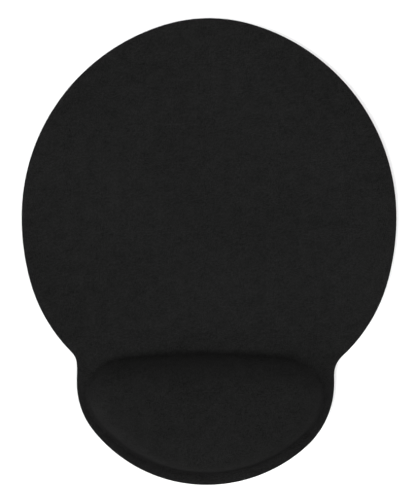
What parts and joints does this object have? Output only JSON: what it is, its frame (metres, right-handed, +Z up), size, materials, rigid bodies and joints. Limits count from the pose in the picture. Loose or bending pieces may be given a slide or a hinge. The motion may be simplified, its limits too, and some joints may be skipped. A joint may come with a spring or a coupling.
{
  "type": "gel wrist rest mouse pad",
  "caption": "Round fabric mouse pad that narrows through two side notches into a wrist end with a raised D-shaped gel pillow; bonded laminate on a non-slip base.",
  "frame": {"origin": "on the desk, under the middle of the pad's bounding box", "axes": "+X to the user's right, +Y away from the user towards the mousing area, +Z up out of the desk"},
  "size_m": [0.2002, 0.2494, 0.02],
  "materials": {
    "knit_fabric": "matt black fine jersey knit with a faint sheen",
    "smoky_film": "thin smoky thermoplastic polyurethane film",
    "gel": "soft translucent polyurethane gel",
    "hot_melt": "thin dark hot-melt adhesive film",
    "foam": "black closed-cell foam with fine cells at the die-cut edge",
    "grip_rubber": "matt black moulded polyurethane with a fine grip texture"
  },
  "bodies": {
    "root": {"fabric_cover": "knit_fabric", "cover_film": "smoky_film", "gel_core": "gel", "gel_backing_film": "smoky_film", "top_adhesive_film": "hot_melt", "foam_board": "foam", "base_adhesive_film": "hot_melt", "non_slip_base": "grip_rubber"}
  },
  "joints": []
}
